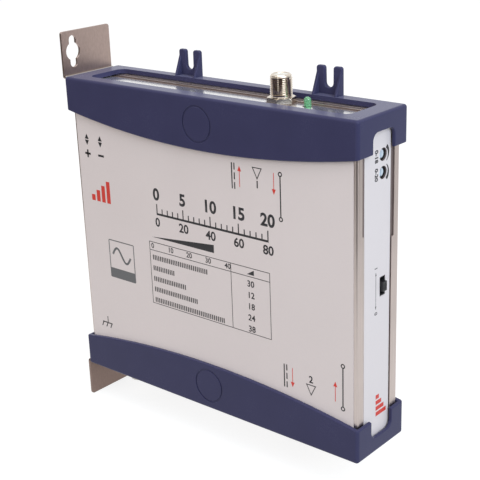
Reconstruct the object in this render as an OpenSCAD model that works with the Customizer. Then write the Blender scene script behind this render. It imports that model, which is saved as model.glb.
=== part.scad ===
// Wall-mounted amplifier for television signals: a flat sheet-metal case closed by two moulded
// end caps, with threaded coaxial ports, two trimmers, a supply switch and two steel brackets.
// The origin is the middle of the wall plane: X runs to the right, Y to the wall and Z up.

/* [Overall] */
// Width over the end caps
cap_w = 166; // [150:0.5:200]
// Depth from the wall to the front of the end caps
cap_d = 35.2; // [33:0.1:50]
// Height over both end caps
unit_h = 148; // [138:0.5:220]

/* [End caps] */
// Thickness of the end plate
cap_plate = 2.3; // [1.5:0.1:4]
// Thickness of the front and back lips
lip_wall = 2.1; // [1.5:0.1:3]
// Thickness of the side lips
side_wall = 1.6; // [1.2:0.1:3]
// Gap between the lips and the case
cap_gap = 0.3; // [0.25:0.05:0.6]
// Height of the lips at the sides
lip_h = 15.6; // [13.5:0.1:20]
// How much further the lips of the upper cap reach at mid width
top_bulge = 8; // [2:0.1:14]
// How much further the lips of the lower cap reach at mid width
bottom_bulge = 7; // [2:0.1:14]
// Radius of the upright corners
cap_r = 1.5; // [0.5:0.1:3]
// Width of the rim in front of the window
window_front = 7; // [5:0.1:9]
// Width of the rim behind the window
window_back = 6.2; // [4:0.1:7]
// Width of the rim at each end of the window
window_side = 9.2; // [6:0.1:12]
// Corner radius of the window
window_r = 4; // [0.5:0.1:5]
// Width of the arch in a side lip
notch_w = 15.2; // [13.5:0.1:16.5]
// Height of the arch in a side lip
notch_h = 8.4; // [7:0.1:11]
// Corner radius of the arch
notch_r = 3.4; // [1:0.1:4.5]
// Distance of the arch from the back cover's flange
notch_inset = 1.3; // [0.5:0.1:2.5]
// Radius of the ring on the front lip
ring_r = 8.3; // [3:0.1:9]
// Width of the ring's groove
ring_w = 0.8; // [0.4:0.1:2]
// Depth of the ring's groove
ring_depth = 0.4; // [0.2:0.05:1]
// Distance of the ring from the end of the cap
ring_drop = 12; // [9:0.1:14]

/* [Screw forks] */
// Place of the first fork of a cap
fork_a_x = -33.1; // [-60:0.1:-20]
// Place of the second fork of a cap
fork_b_x = 45.6; // [20:0.1:60]
// Width of a fork
fork_w = 12.9; // [11:0.1:16]
// Height of a fork over its cap
fork_h = 11.8; // [10:0.1:16]
// Width of the screw slot at its round bottom
fork_slot = 4.2; // [3.5:0.1:5.5]
// How much further the slot opens on each side at the tips
fork_flare = 0.1; // [0.1:0.1:0.8]
// Depth of the screw slot
fork_slot_depth = 9; // [6:0.1:11]
// Thickness of a fork
fork_t = 2; // [1.5:0.1:2.5]
// Corner radius of a fork's tips
tip_r = 1.2; // [0.4:0.1:1.4]
// Thickness of the ribs that brace a fork
rib_t = 1.4; // [0.8:0.1:2]
// Distance of the ribs' tops under the tips of a fork
rib_drop = 2.7; // [1.5:0.1:5]
// Rim left between the ribs and the window
rib_left = 0.4; // [0.1:0.1:0.8]

/* [Case] */
// Thickness of the cover sheet
sheet = 0.6; // [0.4:0.05:1]
// Outer radius of the covers' upright bends
bend_r = 1.4; // [1.1:0.1:2]
// Depth of the front cover's flanges
front_flange = 4.7; // [4:0.1:7]
// Depth of the back cover's flanges
back_flange = 5.7; // [4.5:0.1:7]
// Height over the middle from where the front flange stands back
front_step_z = 25.5; // [0:0.5:40]
// How far the front flange stands back there
front_step = 1.2; // [0.5:0.1:1.5]
// Height over the middle from where the back flange stands back
back_step_z = 20; // [0:0.5:40]
// How far the back flange stands back there
back_step = 1.5; // [0.5:0.1:2]
// Thickness of the frame's walls
frame_wall = 0.8; // [0.6:0.1:1.5]
// Thickness of the printed labels
label_t = 0.2; // [0.1:0.05:0.22]
// Metal left bare round a label
label_edge = 1.8; // [1.5:0.1:3]
// Gap between the side label and the flanges
label_gap = 0.7; // [0.1:0.1:1]
// Reach of the top label behind the ports
top_label_past = 2.4; // [2.4:0.1:5]

/* [Board] */
// Thickness of the circuit board
board_t = 1.6; // [1:0.1:2.4]
// Space behind the board
board_stand = 6.7; // [6:0.1:9]
// Gap between the board and the frame
board_gap = 0.4; // [0.2:0.1:1]
// Length of the tabs that carry the board
tab_l = 5; // [4:0.1:8]
// Width of the tabs that carry the board
tab_w = 8; // [6:0.1:12]
// Height of the upper tabs over the middle
tab_up = 22; // [16:0.5:26]
// Distance of the lower tabs under the middle
tab_down = 45; // [20:0.5:54]
// Radius of the board screws
board_screw_r = 1.25; // [1:0.05:1.6]
// Height of the inner shield walls
shield_h = 17; // [10:0.5:18]
// Thickness of the inner shield walls
shield_t = 0.5; // [0.3:0.1:1]

/* [Inner parts] */
// Place of the amplifier module to the right of the middle
module_x = 34; // [28:0.5:40]
// Distance of the amplifier module under the middle
module_drop = 35; // [20:0.5:48]
// Width of the heat sink
sink_w = 46; // [36:0.5:50]
// Length of the heat sink
sink_l = 16; // [12:0.5:20]
// Thickness of the heat sink
sink_t = 3; // [1:0.1:4]
// Width of the amplifier module
module_w = 30; // [20:0.5:34]
// Height of the amplifier module
module_h = 7; // [4:0.1:10]
// Place of the first filter can to the right of the middle
can_x = 12; // [8:0.5:16]
// Height of the filter cans over the middle
can_z = 40; // [34:0.5:46]
// Distance between the filter cans
can_pitch = 12; // [9:0.5:14]
// Width of a filter can
can_w = 7; // [5:0.1:8]
// Height of a filter can
can_h = 10; // [6:0.1:14]
// Radius of a filter can's core
core_r = 1.9; // [1:0.1:2.2]
// Height of a filter can's core
core_h = 2.5; // [1.5:0.1:4]
// Radius of a capacitor
capacitor_r = 4; // [2.5:0.1:5]
// Height of a capacitor
capacitor_h = 13; // [8:0.5:18]
// Distance between the capacitors
capacitor_pitch = 11; // [10.5:0.1:14]
// Place of the capacitors to the left of the middle
capacitor_x = 44; // [36:0.5:56]
// Mean radius of a ferrite ring
ferrite_r = 5; // [4:0.1:6]
// Radius of a ferrite ring's section
ferrite_t = 1.9; // [1:0.1:2.5]
// Width of the regulator
regulator_w = 10; // [6:0.1:12]
// Thickness of the regulator
regulator_t = 3.2; // [2:0.1:5]
// Height of the regulator
regulator_h = 9; // [6:0.1:10]
// Thickness of the regulator's tab
regulator_tab_t = 1.3; // [0.8:0.1:2]
// Height of the regulator's tab
regulator_tab_h = 15; // [13:0.1:17]
// Length of a chip part
chip_l = 2; // [1:0.1:3]
// Width of a chip part
chip_w = 1.2; // [0.6:0.1:2]
// Height of a chip part
chip_h = 0.8; // [0.3:0.1:1.5]
// Distance between the chip parts of a row
chip_pitch = 6; // [4:0.5:7]

/* [Coaxial ports] */
// Distance of the input port from the right end of the window
input_inset = 42.6; // [41:0.1:60]
// Distance of the output port from the right end of the window
output_inset = 16.5; // [9:0.1:50]
// Distance of the ports in front of the board
port_rise = 4.4; // [4.3:0.1:8]
// Radius over the port's thread
thread_r = 4.76; // [4.5:0.01:5]
// Length of a port over the frame
port_l = 12.6; // [9:0.1:16]
// Width of the nut across its flats
nut_af = 11; // [10.6:0.1:12]
// Height of the nut
nut_h = 2.9; // [2:0.1:4]
// Turn of the nut round the port, in degrees
nut_turn = 49; // [0:1:59]
// Radius of the insulator
insulator_r = 3; // [2:0.1:3.8]
// Radius of the contact
contact_r = 0.8; // [0.6:0.05:1.2]
// Radius of the hole in the contact
contact_hole_r = 0.45; // [0.3:0.05:0.5]

/* [Lamp] */
// Distance of the lamp from the right end of the window
lamp_inset = 29; // [5:0.1:32]
// Radius of the lamp
lamp_r = 1.5; // [1:0.1:1.9]
// Height of the lamp over the frame
lamp_h = 4.3; // [3:0.1:7]

/* [Side controls] */
// Distance of the slope trimmer under the top
slope_drop = 17.9; // [17:0.1:20]
// Distance between the two trimmers
trimmer_pitch = 7.5; // [7:0.1:9]
// Distance of the trimmers in front of the board
trimmer_rise = 3; // [2.8:0.1:6]
// Size of a trimmer's body
trimmer_body = 6.4; // [5:0.1:6.8]
// Radius of a trimmer's rotor
rotor_r = 1.8; // [1.2:0.1:2.2]
// Radius of the hole in front of a rotor
rotor_hole_r = 2.7; // [2.6:0.1:3]
// Width of the screwdriver slots
driver_slot = 0.7; // [0.4:0.05:1]
// Distance of the switch in front of the board
switch_rise = 2.7; // [2.7:0.1:5]
// Length of the switch's knob
knob_l = 4.2; // [3:0.1:5]
// Width of the switch's knob
knob_w = 2.9; // [2:0.1:3.4]
// Reach of the knob over the frame
knob_reach = 1.5; // [0.8:0.1:2]
// Travel of the knob each way
knob_travel = 1.6; // [1:0.1:2]

/* [Power socket] */
// Distance of the power socket under the upper bracket's leg
socket_drop = 9.5; // [7:0.1:12]
// Radius of the socket's mouth
socket_r = 3; // [2.5:0.1:3.4]
// Radius of the socket's pin
socket_pin_r = 1; // [0.6:0.05:1.25]

/* [Earth terminal] */
// Distance of the earth terminal from the end of the window
earth_inset = 5.7; // [5.5:0.1:20]
// Width of the post across its flats
earth_af = 7; // [6:0.1:9]
// Length of the post
earth_l = 10.9; // [6:0.1:14]
// Radius of the clamp screw's head
earth_head_r = 3.6; // [2.8:0.1:4.5]
// Height of the clamp screw's head
earth_head_h = 3.4; // [2:0.1:4]
// Radius of the clamp screw's shank
earth_shank_r = 1.95; // [1.5:0.05:2.2]

/* [Brackets] */
// Thickness of the brackets
bracket_t = 1.2; // [0.8:0.1:2]
// Width of the brackets
bracket_w = 30.3; // [24:0.1:32]
// Distance of the brackets' front edge behind the front of the caps
bracket_front = 0.7; // [0:0.1:2]
// Gap between a bracket and the side of a cap
bracket_gap = 0.2; // [0.1:0.05:0.5]
// Reach of the upper bracket over its cap
bracket_up = 20.6; // [19.5:0.1:30]
// Reach of a bracket's wide head beside its cap
head_drop = 1.4; // [0.5:0.1:4]
// Corner radius of a bracket's head
bracket_r = 1.2; // [0.5:0.1:4]
// How much nearer to the middle the lower bracket is screwed
lower_shift = 2.4; // [0:0.1:3]
// Gap between the leg of a bracket and each side of its arch
leg_gap = 0.4; // [0.2:0.1:1]
// Length of the leg
leg_l = 16; // [12:0.1:20]
// Distance of a bracket's bend under the top of its arch
bend_gap = 3.3; // [2.5:0.1:4]
// Radius of the keyhole
keyhole_r = 4.2; // [3:0.1:4.5]
// Width of the slots of the keyhole
keyhole_slot = 4.1; // [2.5:0.1:4.5]
// Length over both slots of the keyhole
keyhole_l = 14.9; // [10:0.1:15.5]
// Distance of the keyhole from the bracket's edge
keyhole_edge = 6.6; // [5:0.1:12]
// Distance of the keyhole from the end of the cap
keyhole_rise = 10.9; // [8.5:0.1:12]
// Distance between the screws of a bracket
bracket_screw_pitch = 8.4; // [6:0.1:8.5]
// Distance of the screws from the end of the leg
bracket_screw_end = 4.8; // [3.5:0.1:7]
// Radius of the bracket screws
bracket_screw_r = 1.45; // [1:0.05:1.6]

/* [Hidden] */
$fn = 64;

// Cut depth past a face, so that no thin skin is left
over = 1;
// Clearance of pieces that are put together and stay
fit = 0.05;

// The case fills the caps, and the frame fills the covers
case_w = cap_w - 2 * (side_wall + cap_gap);
case_h = unit_h - 2 * cap_plate;
case_front = -cap_d + lip_wall + cap_gap;
case_back = -lip_wall - cap_gap;
frame_x = case_w / 2 - sheet;
frame_z = case_h / 2 - sheet;
frame_in_x = frame_x - frame_wall;
frame_in_z = frame_z - frame_wall;
// Strip of the frame that shows between the flanges
strip_front = case_front + front_flange;
strip_back = case_back - back_flange;

board_back = case_back - sheet - board_stand;
board_face = board_back - board_t;
board_x = frame_in_x - board_gap;
board_z = frame_in_z - board_gap;
screw_in = tab_l / 2 + board_gap;
screw_x = frame_in_x - screw_in;
screw_head_r = 2 * board_screw_r;
screw_head_h = 1.6;

port_y = board_face - port_rise;
trimmer_y = board_face - trimmer_rise;
switch_y = board_face - switch_rise;
slope_z = unit_h / 2 - slope_drop;
gain_z = slope_z - trimmer_pitch;
notch_y = strip_back - notch_inset - notch_w / 2;
window_w = cap_w - 2 * window_side;
window_d = cap_d - window_front - window_back;
input_x = window_w / 2 - input_inset;
output_x = window_w / 2 - output_inset;
lamp_x = window_w / 2 - lamp_inset;

// The brackets' legs pass through the arches and lie on the frame
leg_w = notch_w - 2 * leg_gap;
leg_x = -frame_x;
plate_x = -cap_w / 2 - bracket_gap;
bracket_y = -cap_d + bracket_front;
bend_z = unit_h / 2 - lip_h + notch_h - bend_gap;
leg_end_z = bend_z - leg_l;
leg_screw_z = leg_end_z + bracket_screw_end;
lower_screw_z = lower_shift - leg_screw_z;
bracket_head_h = 1.8;

// Ports, with a neck under the thread that the nut and the frame sit on, and a bent contact tail
neck_r = thread_r - 0.3;
neck_h = nut_h + 0.5;
barrel_r = thread_r - 0.7;
port_in = 6;
port_chamfer = 0.8;
shoulder_r = thread_r + 1.8;
shoulder_h = 1.6;
contact_in = 9;
contact_drop = 1.4;
insulator_drop = 0.4;
tail_r = 0.5;

// Lamp
lamp_rim = 0.4;
lamp_rim_h = 1;
lead_r = 0.25;
lead_gap = 1.6;
lead_in = 7;

// Trimmers, whose rotors end a little behind the frame's outer face
rotor_sink = 0.9;
rotor_gap = 0.1;
rotor_l = 4;
rotor_x = frame_x - rotor_sink;
inner_gap = 0.2;
trimmer_x = frame_in_x - inner_gap;
trimmer_l = 5;

// Switch: a carriage in a cavity, and a knob in a slot that ends in the frame's window
slide_gap = 0.15;
nose_wall = 0.35;
slot_half_w = knob_w / 2 + slide_gap;
slot_half_l = knob_l / 2 + knob_travel + slide_gap;
nose_half_w = slot_half_w + nose_wall;
nose_half_l = slot_half_l + nose_wall;
window_half_w = nose_half_w + 2 * fit;
window_half_l = nose_half_l + 2 * fit;
carriage_half_w = knob_w / 2 + 0.65;
carriage_half_l = knob_l / 2 + 1;
carriage_l = 3.2;
cavity_half_w = carriage_half_w + slide_gap;
cavity_half_l = carriage_half_l + knob_travel + slide_gap;
housing_wall = 1;
cavity_end = trimmer_x - housing_wall;
cavity_x = cavity_end - carriage_l - 2 * slide_gap;
carriage_x = cavity_x + slide_gap;

// Power socket
socket_wall = 1.5;
socket_half = socket_r + socket_wall;
socket_y = board_face - socket_half;
socket_z = leg_end_z - socket_drop;
nose_r = socket_r + 0.9;
socket_l = 13.5;
socket_bore_l = 9.5;
socket_pin_drop = 1;

// Earth terminal
earth_x = -window_w / 2 + earth_inset;
spigot_r = earth_shank_r + 0.5;
rivet_r = spigot_r + 1.2;
rivet_h = 0.9;
washer_r = earth_head_r + 0.5;
washer_h = 0.8;
screw_gap = 1;

// Small screws
head_chamfer = 0.6;
screw_reach = 1;
bracket_head_r = bracket_screw_r + 1.2;

// Shields and small parts on the board
shield_z = 16;
shield_clear = 14;
sink_r = 2;
sink_hole_r = 1.6;
sink_hole_in = 4;
can_count = 4;
core_drop = 0.5;
capacitor_count = 4;
capacitor_z = -10;
groove_h = 1.2;
groove_d = 0.4;
ferrite_x = 20;
ferrite_z = [24, 41];
ferrite_round = 1.15;
regulator_x = 16;
regulator_drop = 23;
regulator_hole_r = 1.8;
chip_x = 8;
chip_row = 4;
chip_drop = 9;
left_chip_z = 4;
right_chips = 8;
left_chips = 7;

// Profile helpers

// A flat rectangle with round corners, centred
module round_rect(w, h, r) {
    square([w - 2 * r, h], center = true);
    square([w, h - 2 * r], center = true);
    for (x = [-1, 1], y = [-1, 1])
        translate([x * (w / 2 - r), y * (h / 2 - r)]) circle(r);
}

// Extrudes an outline drawn in X and Z from y0 back to y1
module along_y(y0, y1) {
    translate([0, y1, 0]) rotate([90, 0, 0]) linear_extrude(y1 - y0) children();
}

// Extrudes an outline drawn in Y and Z from x0 right to x1
module along_x(x0, x1) {
    translate([x0, 0, 0]) rotate([90, 0, 90]) linear_extrude(x1 - x0) children();
}

// A box between two corners
module box(low, high) {
    translate(low) cube(high - low);
}

// A round bar along X from x0, and one along Y from y0
module bar_x(r, x0, length) {
    translate([x0, 0, 0]) rotate([0, 90, 0]) cylinder(r = r, h = length);
}

module bar_y(r, y0, length) {
    translate([0, y0, 0]) rotate([-90, 0, 0]) cylinder(r = r, h = length);
}

// Stands a piece on the front face of the board, its height towards the front
module on_board(x, z) {
    translate([x, board_face, z]) rotate([90, 0, 0]) children();
}

// A hexagonal prism, given across its flats, with a flat to the front
module hex(af, h) {
    cylinder(r = af / sqrt(3), h = h, $fn = 6);
}

// A round-headed screw along +z, with its head's seat at z = 0 and a cross slot
module pan_screw(shank_r, head_r, head_h, length) {
    difference() {
        union() {
            cylinder(r = shank_r, h = length);
            translate([0, 0, -head_h]) rotate_extrude()
                polygon([[0, 0], [head_r - head_chamfer, 0], [head_r, head_chamfer],
                    [head_r, head_h], [0, head_h]]);
        }
        for (a = [0, 90])
            rotate([0, 0, a]) translate([0, 0, -head_h])
                cube([2 * (head_r - head_chamfer), driver_slot, head_h], center = true);
    }
}

// End caps, drawn with the outer face at z = 0 and the lips reaching down

// Outline of a lip, whose edge is an arc that reaches furthest at mid width
module lip_outline(bulge) {
    half = cap_w / 2;
    arc_r = (half * half + bulge * bulge) / (2 * bulge);
    intersection() {
        translate([-half - over, -lip_h - bulge - over])
            square([cap_w + 2 * over, lip_h + bulge + 2 * over]);
        translate([0, arc_r - lip_h - bulge]) circle(arc_r, $fn = 360);
    }
}

// Outline of an arch in a side lip, open at the lip's edge
module notch_outline() {
    translate([-notch_w / 2, -lip_h - over]) square([notch_w, notch_h - notch_r + over]);
    translate([-notch_w / 2 + notch_r, -lip_h]) square([notch_w - 2 * notch_r, notch_h]);
    for (s = [-1, 1])
        translate([s * (notch_w / 2 - notch_r), -lip_h + notch_h - notch_r]) circle(notch_r);
}

// Outline of a fork: two prongs with round corners on a common foot
module fork_outline() {
    slot_z = fork_h - fork_slot_depth + fork_slot / 2;
    tip_z = fork_h - tip_r;
    tip_x = fork_slot / 2 + fork_flare;
    for (s = [0, 1])
        mirror([s, 0]) {
            for (x = [tip_x + tip_r, fork_w / 2 - tip_r]) translate([x, tip_z]) circle(tip_r);
            translate([tip_x + tip_r, slot_z]) square([fork_w / 2 - tip_x - 2 * tip_r, fork_h - slot_z]);
            polygon([[fork_slot / 2, slot_z], [fork_w / 2, slot_z], [fork_w / 2, tip_z], [tip_x, tip_z]]);
        }
    difference() {
        translate([-fork_w / 2, 0]) square([fork_w, slot_z]);
        translate([0, slot_z]) circle(fork_slot / 2);
    }
}

module fork() {
    along_y(-fork_t, 0) fork_outline();
    for (x = [-fork_w / 2, fork_w / 2 - rib_t])
        along_x(x, x + rib_t)
            polygon([[-fork_t, 0], [-window_back + rib_left, 0], [-fork_t, fork_h - rib_drop]]);
}

module ring_groove() {
    translate([0, 0, -ring_drop]) difference() {
        bar_y(ring_r, -cap_d - over, ring_depth + over);
        bar_y(ring_r - ring_w, -cap_d - 2 * over, ring_depth + 3 * over);
    }
}

module end_cap(bulge) {
    tall = lip_h + bulge + over;
    difference() {
        intersection() {
            translate([0, -cap_d / 2, -tall]) linear_extrude(tall) round_rect(cap_w, cap_d, cap_r);
            along_y(-cap_d - over, over) lip_outline(bulge);
        }
        box([-cap_w / 2 + side_wall, -cap_d + lip_wall, -tall - over],
            [cap_w / 2 - side_wall, -lip_wall, -cap_plate]);
        translate([0, -window_back - window_d / 2, -cap_plate - over])
            linear_extrude(cap_plate + 2 * over) round_rect(window_w, window_d, window_r);
        translate([0, notch_y, 0]) along_x(-cap_w / 2 - over, cap_w / 2 + over) notch_outline();
        ring_groove();
    }
    for (x = [fork_a_x, fork_b_x]) translate([x, 0, 0]) fork();
}

module top_cap() {
    color("midnightblue") translate([0, 0, unit_h / 2]) end_cap(top_bulge);
}

module bottom_cap() {
    color("midnightblue") translate([0, 0, -unit_h / 2]) rotate([0, 180, 0]) end_cap(bottom_bulge);
}

// Sheet-metal case

// Outline of a tray seen from above, with its floor at y = 0 and round corners there
module tray_outline(w, d, r) {
    translate([-w / 2, r]) square([w, d - r]);
    translate([-w / 2 + r, 0]) square([w - 2 * r, r]);
    for (s = [-1, 1]) translate([s * (w / 2 - r), r]) circle(r);
}

// A shallow tray with its floor at y = 0, whose flanges stand back above a step
module cover(flange, step, step_z) {
    difference() {
        translate([0, 0, -case_h / 2]) linear_extrude(case_h) tray_outline(case_w, flange, bend_r);
        translate([0, sheet, -frame_z]) linear_extrude(2 * frame_z)
            tray_outline(2 * frame_x, flange, bend_r - sheet);
        box([-case_w / 2 - over, flange - step, step_z],
            [case_w / 2 + over, flange + over, case_h / 2 + over]);
    }
}

module front_cover() {
    color("silver") translate([0, case_front, 0]) cover(front_flange, front_step, front_step_z);
}

module back_cover() {
    color("silver") translate([0, case_back, 0]) mirror([0, 1, 0])
        cover(back_flange, back_step, back_step_z);
}

// Round holes through the frame's walls, for the ports, lamp, trimmers, socket and screws
module frame_holes() {
    deep = frame_wall + 2 * over;
    translate([input_x, port_y, frame_in_z - over]) cylinder(r = neck_r + fit, h = deep);
    translate([lamp_x, port_y, frame_in_z - over]) cylinder(r = lamp_r + 2 * fit, h = deep);
    translate([output_x, port_y, -frame_z - over]) cylinder(r = neck_r + fit, h = deep);
    translate([earth_x, port_y, -frame_z - over]) cylinder(r = spigot_r + fit, h = deep);
    for (z = [slope_z, gain_z])
        translate([0, trimmer_y, z]) bar_x(rotor_hole_r, frame_in_x - over, deep);
    translate([0, socket_y, socket_z]) bar_x(nose_r + fit, -frame_x - over, deep);
    for (z = [leg_screw_z, lower_screw_z], s = [-1, 1])
        translate([0, notch_y + s * bracket_screw_pitch / 2, z])
            bar_x(bracket_screw_r + fit, -frame_x - over, deep);
}

// Tabs bent in from the frame's sides, which the board lies on
module board_tabs() {
    for (s = [-1, 1], z = [tab_up, -tab_down])
        difference() {
            translate([s * (frame_in_x - tab_l / 2), board_back + frame_wall / 2, z])
                cube([tab_l, frame_wall, tab_w], center = true);
            translate([s * screw_x, 0, z])
                bar_y(board_screw_r + fit, board_back - over, frame_wall + 2 * over);
        }
}

// Window of the switch, cut through the frame and its label
module switch_window() {
    box([frame_in_x - over, switch_y - window_half_w, -window_half_l],
        [frame_x + label_t + over, switch_y + window_half_w, window_half_l]);
}

module chassis_frame() {
    color("silver") {
        difference() {
            box([-frame_x, case_front + bend_r, -frame_z], [frame_x, case_back - bend_r, frame_z]);
            box([-frame_in_x, case_front, -frame_in_z], [frame_in_x, case_back, frame_in_z]);
            frame_holes();
            switch_window();
        }
        board_tabs();
    }
}

// Printed labels

module front_label() {
    w = case_w / 2 - label_edge;
    h = case_h / 2 - label_edge;
    color("gainsboro") box([-w, case_front - label_t, -h], [w, case_front, h]);
}

module side_label() {
    h = frame_z - label_edge;
    color("white") difference() {
        box([frame_x, strip_front + label_gap, -h], [frame_x + label_t, strip_back - label_gap, h]);
        for (z = [slope_z, gain_z])
            translate([0, trimmer_y, z]) bar_x(rotor_hole_r, frame_x - over, label_t + 2 * over);
        switch_window();
    }
}

module top_label() {
    w = frame_x - label_edge;
    front = strip_front + label_gap;
    color("white") difference() {
        box([-w, front, frame_z], [w, port_y + top_label_past, frame_z + label_t]);
        translate([input_x, port_y, frame_z - over])
            cylinder(r = nut_af / sqrt(3) + label_gap, h = label_t + 2 * over);
        translate([lamp_x, port_y, frame_z - over])
            cylinder(r = lamp_r + label_gap, h = label_t + 2 * over);
    }
}

// Brackets, drawn for the upper one

// Outline of the keyhole: a round hole with a slot above and below it
module keyhole_outline() {
    end = (keyhole_l - keyhole_slot) / 2;
    circle(keyhole_r);
    square([keyhole_slot, 2 * end], center = true);
    for (s = [-1, 1]) translate([0, s * end]) circle(keyhole_slot / 2);
}

// Outline of a bracket's plate: a wide head on a neck as wide as the leg
module plate_outline(head_z) {
    head_h = unit_h / 2 + bracket_up - head_z;
    head_y = bracket_y + bracket_w / 2;
    translate([head_y, head_z + head_h / 2]) round_rect(bracket_w, head_h, bracket_r);
    translate([notch_y - leg_w / 2, bend_z - bracket_t])
        square([leg_w, head_z + head_h / 2 - bend_z + bracket_t]);
}

// A plate beside the cap, a bend through the arch and a leg that lies on the frame
module bracket(keyhole_y, head_z) {
    difference() {
        union() {
            along_x(plate_x - bracket_t, plate_x) plate_outline(head_z);
            box([plate_x - bracket_t, notch_y - leg_w / 2, bend_z - bracket_t],
                [leg_x, notch_y + leg_w / 2, bend_z]);
            box([leg_x - bracket_t, notch_y - leg_w / 2, leg_end_z],
                [leg_x, notch_y + leg_w / 2, bend_z]);
        }
        translate([0, keyhole_y, unit_h / 2 + keyhole_rise])
            along_x(plate_x - bracket_t - over, plate_x + over) keyhole_outline();
        for (s = [-1, 1])
            translate([0, notch_y + s * bracket_screw_pitch / 2, leg_screw_z])
                bar_x(bracket_screw_r + fit, leg_x - bracket_t - over, bracket_t + 2 * over);
    }
}

module top_bracket() {
    color("rosybrown") bracket(bracket_y + keyhole_edge, unit_h / 2 - head_drop);
}

// The lower bracket points down and has its keyhole near the back edge
module bottom_bracket() {
    color("rosybrown") translate([0, 0, lower_shift]) mirror([0, 0, 1])
        bracket(bracket_y + bracket_w - keyhole_edge, unit_h / 2 - head_drop + lower_shift);
}

module bracket_screws() {
    color("lightgray")
        for (z = [leg_screw_z, lower_screw_z], s = [-1, 1])
            translate([leg_x - bracket_t, notch_y + s * bracket_screw_pitch / 2, z])
                rotate([0, 90, 0])
                    pan_screw(bracket_screw_r, bracket_head_r, bracket_head_h,
                        bracket_t + frame_wall + screw_reach);
}

// Circuit board and what stands on it

// The board is cut back where the shoulders of the ports stand
module circuit_board() {
    cut_z = frame_in_z - shoulder_h - board_gap;
    cut_x = shoulder_r + board_gap;
    color("darkgreen") difference() {
        box([-board_x, board_face, -board_z], [board_x, board_back, board_z]);
        for (s = [-1, 1], z = [tab_up, -tab_down])
            translate([s * screw_x, 0, z])
                bar_y(board_screw_r + fit, board_face - over, board_t + 2 * over);
        box([input_x - cut_x, board_face - over, cut_z],
            [input_x + cut_x, board_back + over, board_z + over]);
        box([output_x - cut_x, board_face - over, -board_z - over],
            [output_x + cut_x, board_back + over, -cut_z]);
    }
}

module board_screws() {
    color("lightgray")
        for (s = [-1, 1], z = [tab_up, -tab_down])
            translate([s * screw_x, board_face, z]) rotate([-90, 0, 0])
                pan_screw(board_screw_r, screw_head_r, screw_head_h,
                    board_t + frame_wall + screw_reach);
}

// Two upright walls that part the input, output and supply sections
module shield_walls() {
    color("silver") {
        box([-shield_t / 2, board_face - shield_h, -board_z + shield_clear],
            [shield_t / 2, board_face, board_z - shield_clear]);
        box([shield_t / 2, board_face - shield_h, shield_z - shield_t / 2],
            [board_x - shield_clear, board_face, shield_z + shield_t / 2]);
    }
}

module heat_sink() {
    color("lightsteelblue") on_board(module_x, -module_drop) linear_extrude(sink_t) difference() {
        round_rect(sink_w, sink_l, sink_r);
        for (s = [-1, 1]) translate([s * (sink_w / 2 - sink_hole_in), 0]) circle(sink_hole_r);
    }
}

module amplifier_module() {
    color("dimgray") on_board(module_x, -module_drop) translate([0, 0, sink_t + module_h / 2])
        cube([module_w, sink_l - sink_r, module_h], center = true);
}

// Places of the filter cans, in a row beside the input
module at_cans() {
    for (i = [0:can_count - 1]) on_board(can_x + i * can_pitch, can_z) children();
}

module filter_cans() {
    color("silver") at_cans() difference() {
        translate([0, 0, can_h / 2]) cube([can_w, can_w, can_h], center = true);
        translate([0, 0, can_h - core_h - core_drop])
            cylinder(r = core_r + fit, h = core_h + core_drop + over);
    }
}

module can_cores() {
    color("darkslategray") at_cans() translate([0, 0, can_h - core_h - core_drop]) difference() {
        cylinder(r = core_r, h = core_h);
        translate([0, 0, core_h]) cube([3 * core_r, driver_slot, 2 * driver_slot], center = true);
    }
}

// Round capacitors with a rolled groove above the foot
module capacitors() {
    color("darkblue")
        for (i = [0:capacitor_count - 1])
            on_board(-capacitor_x, capacitor_z - i * capacitor_pitch) rotate_extrude()
                polygon([[0, 0], [capacitor_r, 0], [capacitor_r, groove_h],
                    [capacitor_r - groove_d, groove_h + groove_d],
                    [capacitor_r, groove_h + 2 * groove_d], [capacitor_r, capacitor_h - groove_d],
                    [capacitor_r - groove_d, capacitor_h], [0, capacitor_h]]);
}

module ferrite_rings() {
    color("darkolivegreen")
        for (z = ferrite_z)
            on_board(-ferrite_x, z) translate([0, 0, ferrite_t]) rotate_extrude()
                translate([ferrite_r, 0]) intersection() {
                    circle(ferrite_t * ferrite_round);
                    square(2 * ferrite_t, center = true);
                }
}

module regulator() {
    color("black") on_board(-regulator_x, -regulator_drop)
        translate([-regulator_w / 2, regulator_tab_t, 0])
            cube([regulator_w, regulator_t, regulator_h]);
}

module regulator_tab() {
    color("silver") on_board(-regulator_x, -regulator_drop) difference() {
        translate([-regulator_w / 2, 0, 0]) cube([regulator_w, regulator_tab_t, regulator_tab_h]);
        translate([0, 0, (regulator_h + regulator_tab_h) / 2])
            bar_y(regulator_hole_r, -over, regulator_tab_t + 2 * over);
    }
}

// Small parts in two rows under the filter cans and two in the supply section
module chip_parts() {
    color("tan")
        for (j = [0, 1]) {
            for (i = [0:right_chips - 1])
                on_board(chip_x + i * chip_pitch, can_z - chip_drop - j * chip_row)
                    translate([0, 0, chip_h / 2]) cube([chip_l, chip_w, chip_h], center = true);
            for (i = [0:left_chips - 1])
                on_board(-chip_x - i * chip_pitch, left_chip_z + j * chip_row)
                    translate([0, 0, chip_h / 2]) cube([chip_l, chip_w, chip_h], center = true);
        }
}

// Coaxial ports, drawn with the frame's outer face at z = 0 and the mouth upwards

module connector() {
    difference() {
        rotate_extrude()
            polygon([[0, -port_in], [barrel_r, -port_in],
                [barrel_r, -frame_wall - shoulder_h], [shoulder_r, -frame_wall - shoulder_h],
                [shoulder_r, -frame_wall], [neck_r, -frame_wall], [neck_r, neck_h],
                [thread_r, neck_h], [thread_r, port_l - port_chamfer],
                [thread_r - port_chamfer, port_l], [0, port_l]]);
        translate([0, 0, -port_in - over]) cylinder(r = insulator_r, h = port_in + port_l + 2 * over);
    }
}

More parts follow.
